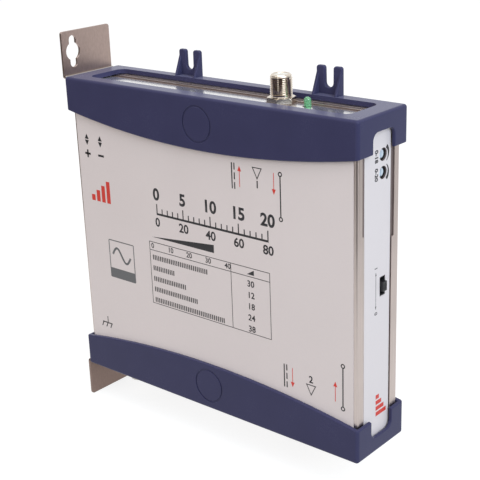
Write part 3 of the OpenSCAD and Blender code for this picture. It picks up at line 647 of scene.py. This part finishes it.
# Each dark card: the turns of the view it stands between, in degrees, and its upper edge
CARDS = ((-112.0, -38.0, 0.25), (-25.0, 42.0, 0.155), (62.0, 88.0, 0.25))
CARD_AWAY = 0.36
CARD_LOW = -0.075
CARD_TONE = (0.13, 0.095, 0.075, 1.0)
FLOOR_RADIUS = 5.0
FLOOR_TONE = (0.3, 0.3, 0.3, 1.0)
FLOOR_GLOW = 0.82
WHITE = (1.0, 1.0, 1.0, 1.0)


# Operators

class AMPLIFIER_OT_stage(bpy.types.Operator):
    """Sets up the camera, the lamps, the white surroundings, the floor and the dark cards"""

    bl_idname = "amplifier.stage"
    bl_label = "Stage"

    def execute(self, context):
        stage = context.scene.amplifier_stage
        context.scene.view_settings.view_transform = "Standard"
        self.camera(context, stage)
        self.surroundings(context, stage.ambient)
        for name, strength, width, spot, tint in LAMPS:
            self.lamp(name, getattr(stage, strength), width, spot, tint)
        self.floor(CAD_BOX[0].z)
        for start, stop, high in CARDS:
            self.card(stage.azimuth + math.radians(start), stage.azimuth + math.radians(stop), high)
        return {"FINISHED"}

    def camera(self, context, stage):
        """The camera, turned, tilted and rolled as the settings say."""
        data = bpy.data.cameras.new("camera")
        data.sensor_width = 36.0
        data.lens = stage.lens
        data.clip_start = 0.01
        camera = new_object("camera", data)
        side, up = stage.azimuth, stage.elevation
        ahead = Vector((-math.sin(side) * math.cos(up), math.cos(side) * math.cos(up),
                        -math.sin(up)))
        camera.location = stage.eye
        camera.rotation_mode = "QUATERNION"
        camera.rotation_quaternion = (ahead.to_track_quat("-Z", "Y")
                                      @ Quaternion((0.0, 0.0, 1.0), stage.roll))
        context.scene.camera = camera

    def surroundings(self, context, ambient):
        """White all round, with its own strength for the light it gives."""
        world = bpy.data.worlds.new("white surroundings")
        world.use_nodes = True
        tree = world.node_tree
        back = tree.nodes["Background"]
        back.inputs["Color"].default_value = WHITE
        tree.links.new(self.seen(tree, ambient, 1.0), back.inputs["Strength"])
        context.scene.world = world

    def seen(self, tree, elsewhere, looked_at):
        """A value that changes where a camera, glossy or transmission ray looks."""
        path = tree.nodes.new("ShaderNodeLightPath")
        either = path.outputs["Is Camera Ray"]
        for ray in ("Is Glossy Ray", "Is Transmission Ray"):
            both = tree.nodes.new("ShaderNodeMath")
            both.operation = "MAXIMUM"
            tree.links.new(either, both.inputs[0])
            tree.links.new(path.outputs[ray], both.inputs[1])
            either = both.outputs[0]
        choice = tree.nodes.new("ShaderNodeMix")
        choice.inputs[VALUE_A].default_value = elsewhere
        choice.inputs[VALUE_B].default_value = looked_at
        tree.links.new(either, choice.inputs[FACTOR])
        return choice.outputs[VALUE]

    def matt(self, piece, name, tone):
        """Gives a piece a material without gloss, and returns its tree and shader."""
        material, tree, shader = new_material(name)
        shader.inputs["Base Color"].default_value = tone
        shader.inputs["Roughness"].default_value = 1.0
        shader.inputs["Specular IOR Level"].default_value = 0.0
        piece.data.materials.append(material)
        return tree, shader

    def lamp(self, name, power, width, spot, tint):
        """A round soft lamp that points at the part."""
        data = bpy.data.lights.new(name, "AREA")
        data.shape = "DISK"
        data.size = width
        data.energy = power
        data.color = tint
        lamp = new_object(name, data)
        lamp.location = spot
        lamp.rotation_euler = (-Vector(spot)).to_track_quat("-Z", "Y").to_euler()

    def floor(self, height):
        """A pale floor that keeps a shadow and is clear from below."""
        start_fresh()
        bpy.ops.mesh.primitive_circle_add(vertices=64, radius=FLOOR_RADIUS, fill_type="NGON",
                                          location=(0.0, 0.0, height))
        floor = bpy.context.object
        floor.name = "floor"
        tree, shader = self.matt(floor, "pale floor", FLOOR_TONE)
        shader.inputs["Emission Color"].default_value = WHITE
        tree.links.new(self.seen(tree, 0.0, FLOOR_GLOW), shader.inputs["Emission Strength"])
        below = tree.nodes.new("ShaderNodeNewGeometry")
        clear = tree.nodes.new("ShaderNodeBsdfTransparent")
        mix = tree.nodes.new("ShaderNodeMixShader")
        out = tree.nodes["Material Output"]
        tree.links.new(below.outputs["Backfacing"], mix.inputs[0])
        tree.links.new(shader.outputs[0], mix.inputs[1])
        tree.links.new(clear.outputs[0], mix.inputs[2])
        tree.links.new(mix.outputs[0], out.inputs["Surface"])

    def card(self, start, stop, high):
        """A dark card at the camera's side, from turn to turn, that only reflections show."""
        start_fresh()
        bpy.ops.mesh.primitive_plane_add(size=1.0)
        card = bpy.context.object
        card.name = "dark_card"
        corners = [(turn, height) for height in (CARD_LOW, high) for turn in (start, stop)]
        for vertex, (turn, height) in zip(card.data.vertices, corners):
            vertex.co = (CARD_AWAY * math.sin(turn), -CARD_AWAY * math.cos(turn), height)
        for ray in ("camera", "diffuse", "transmission", "shadow"):
            setattr(card, "visible_" + ray, False)
        self.matt(card, "dark card", CARD_TONE)


class AMPLIFIER_OT_caps(bpy.types.Operator):
    """Makes the moulded end caps with their rounded edges"""

    bl_idname = "amplifier.caps"
    bl_label = "End Caps"

    def execute(self, context):
        size = sizes()
        low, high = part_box("top_cap")
        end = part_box("front_cover")[1].z + size.cap_plate
        ring = end - size.ring_drop

        def width_at(middle):
            """The rounding that an edge gets, told by its middle."""
            height = abs(middle.z)
            outer = min(middle.y - low.y, high.y - middle.y, high.x - abs(middle.x))
            if height > end + NEAR:
                return size.fork_edge
            if height > end - NEAR and outer < size.cap_rim:
                return size.cap_end
            if height > end - NEAR:
                return size.window_edge
            front, back = middle.y < low.y + NEAR, middle.y > high.y - NEAR
            if abs(middle.x) > high.x - NEAR and (front or back):
                return size.cap_corner
            if front and math.hypot(middle.x, height - ring) < size.ring_reach:
                return size.ring_edge
            return size.cap_edge

        for node in ("top_cap", "bottom_cap"):
            piece = node_copy(node, node + "_body")
            round_off(piece, (size.cap_end, size.cap_corner, size.cap_edge, size.window_edge,
                              size.fork_edge, size.ring_edge), width_at)
            mount(piece, "cap plastic", HOUSING, (node,))
        return {"FINISHED"}


class AMPLIFIER_OT_case(bpy.types.Operator):
    """Makes the covers and their lips, and finishes the frame between them and the labels"""

    bl_idname = "amplifier.case"
    bl_label = "Case"

    def execute(self, context):
        size = sizes()
        for node in ("front_cover", "back_cover"):
            softened_node(node, size.sheet_edge, "case steel")
        low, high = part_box("back_cover")
        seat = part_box("chassis_frame")[1].z
        for name, way, ahead in (("top_lip", 1.0, 0.0), ("top_seam", 1.0, size.seam_gap),
                                 ("bottom_lip", -1.0, 0.0), ("bottom_seam", -1.0, size.seam_gap)):
            start = low.y - ahead
            piece = rail(name, (-size.lip_reach, start, way * seat),
                         (size.lip_reach, start + size.lip_width, way * high.z), size.sheet_edge)
            mount(piece, "case steel")
        # The frame gets darkened steel: painted shade in the recesses between the labels and the
        # cover flanges
        paint(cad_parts["chassis_frame"], "frame steel")
        paint(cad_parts["front_label"], "front film")
        paint(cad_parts["side_label"], "side film")
        paint(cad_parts["top_label"], "bright strip")
        return {"FINISHED"}


class AMPLIFIER_OT_brackets(bpy.types.Operator):
    """Makes the wall brackets, the fold at the upper one's foot and the screws"""

    bl_idname = "amplifier.brackets"
    bl_label = "Brackets"

    def execute(self, context):
        softened_node("top_bracket", sizes().sheet_edge, "bracket steel")
        # The lower bracket gets a darker copy of the bracket steel: painted shade, not a different
        # metal
        softened_node("bottom_bracket", sizes().sheet_edge, "lower bracket steel")
        softened_node("bracket_screws", sizes().small_edge, "screw steel")
        low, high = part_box("top_bracket")
        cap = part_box("top_cap")[0].x
        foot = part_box("front_cover")[1].z + sizes().cap_plate
        size = sizes().fold_size
        fold = rail("bracket_fold", (cap, low.y, foot - size),
                    (cap + size, high.y, foot + size / 4), size / 3)
        mount(fold, "screw steel")
        return {"FINISHED"}


class AMPLIFIER_OT_ports(bpy.types.Operator):
    """Makes the two threaded ports and their nuts"""

    bl_idname = "amplifier.ports"
    bl_label = "Ports"

    CREST = 4.76  # radius over the thread, in mm

    def execute(self, context):
        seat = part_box("input_nut")[0].z
        barrel = joined("barrel", [self.barrel(), self.thread()])
        nut = self.nut(seat)
        for port, over in (("input", False), ("output", True)):
            low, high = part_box(port + "_connector")
            x, y = (low.x + high.x) / 2, (low.y + high.y) / 2
            z = -seat if over else seat
            piece = upright_copy(barrel, port + "_barrel", x, y, z, over)
            smooth(piece)
            mount(piece, "port nickel", HOUSING, (port + "_connector",))
            piece = upright_copy(nut, port + "_hex_nut", x, y, z, over)
            soften(piece, sizes().small_edge, 2)
            mount(piece, "port nickel", HOUSING, (port + "_nut",))
            paint(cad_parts[port + "_insulator"], "insulator plastic")
            paint(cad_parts[port + "_contact"], "contact brass")
        discard(barrel, nut)
        return {"FINISHED"}

    def barrel(self):
        """The port without its thread, by radius and height in mm from the nut's seat."""
        root = self.CREST - sizes().thread_depth / MM
        foot = [(3.0, -6.0), (6.5, -6.0), (6.5, -0.8), (4.46, -0.8), (4.46, 3.1)]
        core = [(root, 3.25), (root, 11.55)]
        tip = [(4.5, 11.7), (4.46, 11.9), (4.3, 12.1), (4.02, 12.4), (3.8, 12.56), (3.55, 12.6)]
        bore = [(3.25, 12.5), (3.05, 12.3), (3.0, 12.1), (3.0, -6.0)]
        return turned("barrel", foot + core + tip + bore, 96)

    def thread(self):
        """The helical ridge, one section swept round and up."""
        pitch, start, sunk = sizes().thread_pitch, 3.62 * MM, 0.06 * MM
        crest, crest_half, root_half = self.CREST * MM, 0.09 * pitch, 0.47 * pitch
        root = crest - sunk - sizes().thread_depth
        start_fresh()
        bpy.ops.mesh.primitive_plane_add(size=1.0)
        ridge = bpy.context.object
        section = [(root, -root_half), (crest, -crest_half), (crest, crest_half), (root, root_half)]
        for vertex, (out, rise) in zip((ridge.data.vertices[i] for i in (0, 1, 3, 2)), section):
            vertex.co = (out, 0.0, start + rise)
        edit(ridge)
        bpy.ops.mesh.delete(type="ONLY_FACE")
        close()
        apply_modifier(ridge, "SCREW", axis="Z", angle=2 * math.pi, screw_offset=pitch,
                       iterations=sizes().thread_turns, steps=72, render_steps=72,
                       use_merge_vertices=False)
        edit(ridge)
        bpy.ops.mesh.fill_holes(sides=4)
        close_outward()
        return ridge

    def nut(self, seat):
        """A hexagon whose outer corners are turned off."""
        nut = node_copy("input_nut", "nut")
        low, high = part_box("input_nut")
        place(nut, Matrix.Translation((-(low.x + high.x) / 2, -(low.y + high.y) / 2, -seat)))
        tall = (high.z - low.z) / MM
        wide, narrow, drop, over = 7.2, 5.35, 0.75, 0.2
        cone = turned("cone", [(wide, -over), (wide, tall - drop), (narrow, tall + over)], 96)
        apply_modifier(nut, "BOOLEAN", operation="INTERSECT", object=cone, solver="EXACT")
        discard(cone)
        return nut


class AMPLIFIER_OT_lamp(bpy.types.Operator):
    """Makes the round lamp and finishes its leads"""

    bl_idname = "amplifier.lamp"
    bl_label = "Lamp"

    def execute(self, context):
        low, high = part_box("lamp_lens")
        spot = Matrix.Translation(((low.x + high.x) / 2, (low.y + high.y) / 2, low.z))
        radius, seat, steps = 1.5, 4.6, 10
        flange = [(1.9, 0.0), (1.9, 0.85), (1.82, 0.95), (radius, 1.0)]
        angles = [i * math.pi / 2 / steps for i in range(steps)]
        dome = [(radius * math.cos(a), seat + radius * math.sin(a)) for a in angles]
        lens = turned("lamp_dome", flange + dome + [(0.08, 6.095)], 48)
        place(lens, spot)
        smooth(lens, 40.0)
        mount(lens, "lamp resin", HOUSING, ("lamp_lens",))
        paint(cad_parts["lamp_leads"], "contact brass")
        return {"FINISHED"}


class AMPLIFIER_OT_trimmers(bpy.types.Operator):
    """Makes the two slotted trimmers"""

    bl_idname = "amplifier.trimmers"
    bl_label = "Trimmers"

    def execute(self, context):
        for trimmer in ("slope", "gain"):
            softened_node(trimmer + "_rotor", sizes().small_edge, "rotor plastic",
                          trimmer + "_rotor")
            paint(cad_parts[trimmer + "_trimmer"], "black plastic")
        return {"FINISHED"}


class AMPLIFIER_OT_switch(bpy.types.Operator):
    """Makes the slide switch with a ribbed knob"""

    bl_idname = "amplifier.switch"
    bl_label = "Switch"

    def execute(self, context):
        knob = node_copy("switch_slider", "switch_knob")
        self.groove(knob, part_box("switch_slider")[1].x)
        soften(knob, sizes().small_edge / 2, 2)
        mount(knob, "black plastic", "switch_slider", ("switch_slider",))
        softened_node("switch_housing", sizes().small_edge, "black plastic")
        return {"FINISHED"}

    def groove(self, knob, face):
        """Cuts grooves across the knob's outer face."""
        grooves, half = [-1.2 * MM, -0.4 * MM, 0.4 * MM, 1.2 * MM], 0.16 * MM
        edit(knob)
        for z in grooves:
            for edge in (z - half, z + half):
                bpy.ops.mesh.select_all(action="SELECT")
                bpy.ops.mesh.bisect(plane_co=(0.0, 0.0, edge), plane_no=(0.0, 0.0, 1.0))
        pick_faces(knob, lambda centre, normal: normal.x > 0.9 and centre.x > face - NEAR
                   and any(abs(centre.z - z) < half for z in grooves))
        depth = (-sizes().rib_depth, 0.0, 0.0)
        bpy.ops.mesh.extrude_region_move(TRANSFORM_OT_translate={"value": depth})
        close()


class AMPLIFIER_OT_connections(bpy.types.Operator):
    """Makes the power socket and the earth terminal"""

    bl_idname = "amplifier.connections"
    bl_label = "Power and Earth"

    def execute(self, context):
        softened_node("power_socket", sizes().small_edge, "black plastic")
        paint(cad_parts["power_socket_pin"], "contact brass")
        for node in ("earth_post", "earth_washer", "earth_screw"):
            softened_node(node, sizes().small_edge, "screw steel")
        return {"FINISHED"}


# Print is laid out in mm from the part's origin: across and up on the front, Y and Z on the side

class AMPLIFIER_OT_front_print(bpy.types.Operator):
    """Prints the front label: level chart, scale, port marks and signs"""

    bl_idname = "amplifier.front_print"
    bl_label = "Front Print"

    def execute(self, context):
        start_fresh()
        dark = self.supply() + self.scale() + self.chart() + self.earth() + self.ports()
        print_on("front_marks", dark, front_plane(), "dark ink")
        print_on("front_arrows", self.arrows() + self.signal_bars(), front_plane(), "red ink")
        print_on("front_badge", self.badge(), front_plane(), "grey ink")
        return {"FINISHED"}

    def supply(self):
        """Two pairs of pointers over a plus and a minus."""
        plus, minus, row = -73.0, -64.0, 38.0
        half, arm, line = 1.35, 1.9, 0.5
        marks = []
        for x in (plus, minus):
            marks.append(draw_shape([(x - half, 45.1), (x + half, 45.1), (x, 47.6)]))
            marks.append(draw_shape([(x - half, 44.6), (x, 42.1), (x + half, 44.6)]))
            marks.append(draw_bar(x - arm, row - line, x + arm, row + line))
        marks.append(draw_bar(plus - line, row - arm, plus + line, row + arm))
        return marks

    def scale(self):
        """A bold ruled scale with two rows of plain numbers and a wedge."""
        left, right, steps, long_step = -29.0, 36.0, 20, 5
        low, foot, short_top, long_top = 15.3, 16.3, 18.6, 20.6
        half = 0.3
        marks = [draw_bar(left - half, low, right + half, foot)]
        for step in range(steps + 1):
            x = left + (right - left) * step / steps
            numbered = step % long_step == 0
            marks.append(draw_bar(x - half, foot, x + half, long_top if numbered else short_top))
            if numbered:
                marks.append(draw_number(step, x, 24.9, 5.6, 0.25))
                marks.append(draw_number(step * 4, x, 11.6, 4.2, 0.14))
        marks.append(draw_shape([(-33.3, 4.0), (5.0, 4.0), (5.0, 7.8)]))
        return marks

    def chart(self):
        """A ruled chart: five stepped level bars and their plain numbers."""
        left, right, split, top, head, low = -35.4, 36.5, 14.5, 1.6, -2.6, -29.6
        line, bar, step = 0.3, 0.62, 1.15
        marks = [draw_frame([(left, low), (right, low), (right, top), (left, top)], line),
                 draw_bar(left + line, head - line / 2, split - line / 2, head + line / 2),
                 draw_bar(split + line / 2, head - line / 2, right - line, head + line / 2),
                 draw_bar(split - line / 2, low + line, split + line / 2, top - line)]
        for row, count in enumerate((30, 12, 18, 24, 38)):
            z = -6.1 - row * 5.35
            marks.append(draw_number(count, 25.6, z, 2.9, 0.08))
            for i in range(count):
                x = -33.6 + i * step
                marks.append(draw_bar(x, z - 1.2, x + bar, z + 1.2))
        for tens in range(5):
            marks.append(draw_number(tens * 10, -33.3 + tens * 10 * step, -0.5, 2.5, 0.06))
        marks.append(draw_shape([(23.6, -1.7), (27.6, -1.7), (27.6, 0.7)]))
        return marks

    def earth(self):
        """The sign for a connection to the chassis."""
        return [draw_bar(-68.7, -48.6, -68.2, -45.2), draw_bar(-72.2, -49.0, -65.4, -48.4)] + [
            draw_line(x, -48.7, x - 1.2, -51.1, 0.55) for x in (-71.6, -68.6, -65.7)]

    def ports(self):
        """The ports' pointers, plain numbers and supply signs."""
        marks, radius = [], 1.1
        for x, high, number, row in ((31.0, 47.3, 1, 39.8), (57.5, -44.9, 2, -42.6)):
            marks.append(draw_frame([(x - 2.7, high), (x, high - 5.3), (x + 2.7, high)], 0.4))
            marks.append(draw_number(number, x, row, 3.2, 0.1))
        for x, low, high in ((17.8, 36.0, 47.5), (43.7, -50.0, -39.0)):
            marks.append(draw_bar(x - 0.9, low, x - 0.3, high))
            third = (high - low - 2.4) / 3
            for i in range(3):
                start = low + i * (third + 1.2)
                marks.append(draw_bar(x + 0.5, start, x + 1.1, start + third))
        for x, low, high in ((43.2, 25.8, 47.4), (74.1, -52.2, -30.2)):
            marks.append(draw_bar(x - 0.3, low + 2.0, x + 0.3, high - 2.0))
            for z in (low + radius, high - radius):
                ring = [(x + radius * math.cos(a), z + radius * math.sin(a))
                        for a in (i * math.pi / 8 for i in range(16))]
                marks.append(draw_frame(ring, 0.5))
        return marks

    def arrows(self):
        """Arrows that show which way the supply flows."""
        marks = []
        for x, tail, tip in ((21.4, 37.2, 46.6), (39.8, 46.4, 37.0), (47.6, -39.8, -49.0),
                             (70.2, -48.8, -39.5)):
            marks += draw_arrow(x, tail, tip, 0.32, 2.1, 2.4)
        return marks

    def signal_bars(self):
        """Four rising bars for signal strength."""
        left, low, width, step = -72.6, 15.0, 2.4, 3.5
        return [draw_bar(left + i * step, low, left + width + i * step, low + 3.0 + i * 2.6)
                for i in range(4)]

    def badge(self):
        """A framed wave over a solid foot."""
        wave = [(-60.9 + i * 0.3, -10.4 + 3.4 * math.sin(i * math.pi / 20)) for i in range(41)]
        return [draw_frame(draw_corners(-63.4, -22.6, -46.2, -3.1, 0.7), 0.5),
                draw_bar(-62.9, -22.1, -46.7, -17.6),
                draw_ribbon(wave, [1.1] * len(wave))]


class AMPLIFIER_OT_side_print(bpy.types.Operator):
    """Prints the side label: trimmer numbers, turning wedges and the switch line"""

    bl_idname = "amplifier.side_print"
    bl_label = "Side Print"

    def execute(self, context):
        start_fresh()
        marks, line, down = [], -18.9, -math.pi / 2
        for numbers, trimmer, swell in (("0-18", "slope", 1.0), ("0-20", "gain", -1.0)):
            low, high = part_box(trimmer + "_rotor")
            y, z = (low.y + high.y) / 2 / MM, (low.z + high.z) / 2 / MM
            marks.append(draw_number(numbers, -19.2, z, 2.1, 0.12, down))
            marks.append(self.wedge(y, z, swell))
        for number, tip, row in ((1, 7.2, 9.0), (0, -9.2, -11.0)):
            marks += draw_arrow(line, 0.0, tip, 0.22, 0.9, 1.4)
            marks.append(draw_number(number, line, row, 2.0, 0.05, down))
        print_on("side_marks", marks, side_plane(), "dark ink")
        print_on("side_bars", self.signal_bars(), side_plane(), "red ink")
        return {"FINISHED"}

    def signal_bars(self):
        """Four growing bars for signal strength, read from above."""
        top, thick, step = -49.0, 1.9, 2.7
        return [draw_bar(-18.4, top - thick - i * step, -15.9 + i * 1.8, top - i * step)
                for i in range(4)]

    def wedge(self, y, z, swell):
        """An arc beside a trimmer that swells towards one end."""
        radius, half_turn, steps = 3.75, 52.0, 20
        shares = [2 * i / steps - 1.0 for i in range(steps + 1)]
        angles = [math.radians(half_turn * share) for share in shares]
        points = [(y + radius * math.cos(a), z + radius * math.sin(a)) for a in angles]
        return draw_ribbon(points, [0.95 + 0.6 * swell * share for share in shares])


class AMPLIFIER_OT_inside(bpy.types.Operator):
    """Finishes the board and the parts inside the case"""

    bl_idname = "amplifier.inside"
    bl_label = "Inside"

    FINISH_OF = {
        "circuit_board": "board resin", "board_screws": "screw steel", "shield_walls": "case steel",
        "amplifier_module": "black plastic", "heat_sink": "sink aluminium",
        "filter_cans": "case steel", "can_cores": "ferrite", "capacitors": "capacitor sleeve",
        "ferrite_rings": "ferrite", "regulator": "black plastic", "regulator_tab": "sink aluminium",
        "chip_parts": "chip ceramic",
    }

    def execute(self, context):
        for node, name in self.FINISH_OF.items():
            paint(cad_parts[node], name)
        return {"FINISHED"}


OPERATORS = (
    AMPLIFIER_OT_stage, AMPLIFIER_OT_caps, AMPLIFIER_OT_case, AMPLIFIER_OT_brackets,
    AMPLIFIER_OT_ports, AMPLIFIER_OT_lamp, AMPLIFIER_OT_trimmers, AMPLIFIER_OT_switch,
    AMPLIFIER_OT_connections, AMPLIFIER_OT_front_print, AMPLIFIER_OT_side_print,
    AMPLIFIER_OT_inside,
)


class AMPLIFIER_PT_looks(bpy.types.Panel):
    """Lists the steps that dress the amplifier"""

    bl_idname = "AMPLIFIER_PT_looks"
    bl_label = "Amplifier"
    bl_space_type = "VIEW_3D"
    bl_region_type = "UI"
    bl_category = "Amplifier"

    def draw(self, context):
        scene = context.scene
        for group in (scene.amplifier_sizes, scene.amplifier_colours, scene.amplifier_stage):
            column = self.layout.column(align=True)
            for label in group.__annotations__:
                column.prop(group, label)
        for operator in OPERATORS:
            self.layout.operator(operator.bl_idname)


CLASSES = (AmplifierSizes, AmplifierColours, AmplifierStage, *OPERATORS, AMPLIFIER_PT_looks)


def register():
    """Adds the classes and their settings."""
    for cls in CLASSES:
        bpy.utils.register_class(cls)
    bpy.types.Scene.amplifier_sizes = PointerProperty(type=AmplifierSizes)
    bpy.types.Scene.amplifier_colours = PointerProperty(type=AmplifierColours)
    bpy.types.Scene.amplifier_stage = PointerProperty(type=AmplifierStage)


def unregister():
    """Takes the classes and their settings away."""
    del bpy.types.Scene.amplifier_stage
    del bpy.types.Scene.amplifier_colours
    del bpy.types.Scene.amplifier_sizes
    for cls in reversed(CLASSES):
        bpy.utils.unregister_class(cls)


def main():
    """Dresses the frame."""
    register()
    bpy.ops.amplifier.stage()
    bpy.ops.amplifier.caps()
    bpy.ops.amplifier.case()
    bpy.ops.amplifier.brackets()
    bpy.ops.amplifier.ports()
    bpy.ops.amplifier.lamp()
    bpy.ops.amplifier.trimmers()
    bpy.ops.amplifier.switch()
    bpy.ops.amplifier.connections()
    bpy.ops.amplifier.front_print()
    bpy.ops.amplifier.side_print()
    bpy.ops.amplifier.inside()


if __name__ == "__main__":
    main()
